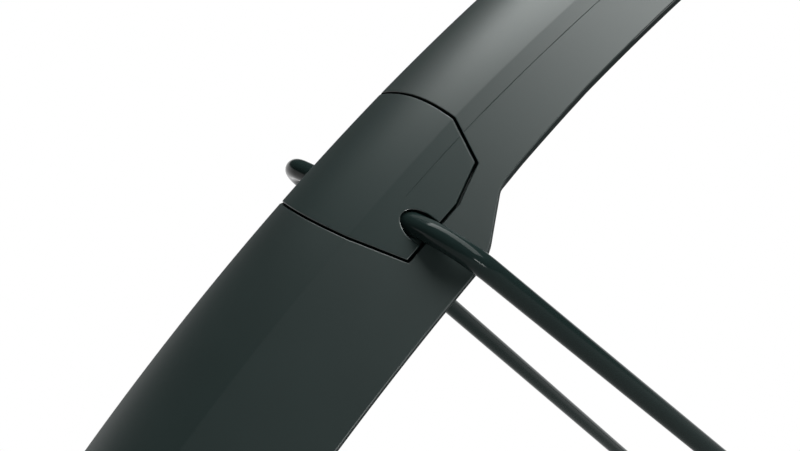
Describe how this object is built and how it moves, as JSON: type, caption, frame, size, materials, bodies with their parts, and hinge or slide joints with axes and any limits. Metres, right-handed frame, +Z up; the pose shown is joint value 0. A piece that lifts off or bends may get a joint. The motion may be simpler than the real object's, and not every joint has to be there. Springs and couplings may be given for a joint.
{
  "type": "bicycle mudguard",
  "caption": "Rear bicycle mudguard: creased arched blade with a flared skirt, a flush cover over the stay's crossbar, a splayed wire stay with end clamps, and frame brackets.",
  "frame": {"origin": "the wheel's axle, on which the guard's arc is centred", "axes": "+X forward along the bicycle, +Y along the axle to the left, +Z up with the guard over the wheel"},
  "size_m": [0.7264, 0.1564, 0.473],
  "materials": {
    "guard_plastic": "matte moulded",
    "cover_plastic": "matte moulded",
    "stay_wire": "gloss black coat",
    "clamp_plastic": "matte moulded",
    "bracket_steel": "satin black coat",
    "rivet_metal": "dark anodised",
    "fixing_steel": "plated"
  },
  "bodies": {
    "root": {"guard_blade": "guard_plastic", "stay_cover": "cover_plastic", "u_stay": "stay_wire", "cover_screws": "fixing_steel", "cover_washers": "fixing_steel", "bridge_bracket": "bracket_steel", "chainstay_tab": "bracket_steel", "guard_rivets": "rivet_metal", "stay_end_left": "clamp_plastic", "stay_end_right": "clamp_plastic", "stay_grub_screws": "fixing_steel"}
  },
  "joints": []
}
